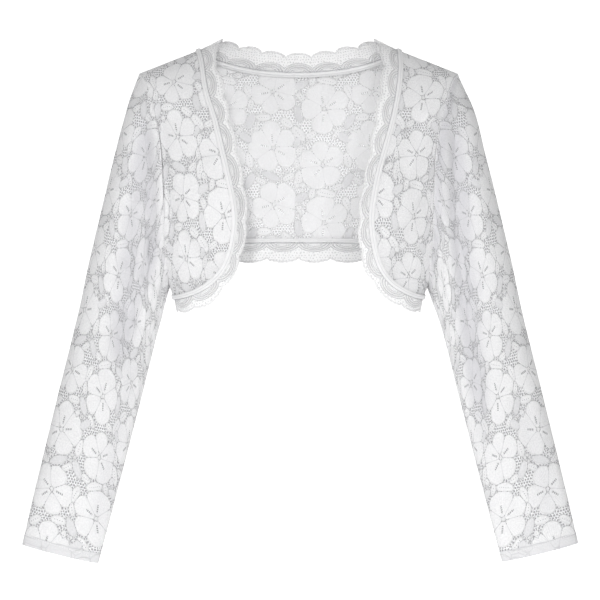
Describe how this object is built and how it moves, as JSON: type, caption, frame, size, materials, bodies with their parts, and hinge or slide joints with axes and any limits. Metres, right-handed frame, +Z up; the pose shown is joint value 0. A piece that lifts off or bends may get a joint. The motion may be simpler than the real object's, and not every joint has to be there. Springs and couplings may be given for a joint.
{
  "type": "lace bolero cardigan",
  "caption": "White lace bolero cardigan, open at the front, with long slim sleeves and a scalloped band round neck, fronts and back hem; hollow, as worn.",
  "frame": {"origin": "on the shoulder line, midway between the two high shoulder points, where the wearer's shoulders hold the garment up", "axes": "+X to the garment's own left side, across the shoulders; -Y out of the open front; +Z up"},
  "size_m": [0.6751, 0.196, 0.6382],
  "materials": {
    "lace": "soft matt floral lace on a fine net",
    "scalloped_trim": "matt scalloped edging lace",
    "tape": "narrow woven tape with a slight sheen"
  },
  "bodies": {
    "root": {"back_left": "lace", "back_right": "lace", "front_left": "lace", "front_right": "lace", "sleeve_left": "lace", "sleeve_right": "lace", "neck_trim": "scalloped_trim", "front_trim_left": "scalloped_trim", "front_trim_right": "scalloped_trim", "hem_trim": "scalloped_trim", "tape_front_left": "tape", "tape_front_right": "tape", "tape_neck": "tape", "tape_hem": "tape", "inner_tape_front_left": "tape", "inner_tape_front_right": "tape", "inner_tape_neck": "tape", "inner_tape_hem": "tape"}
  },
  "joints": []
}
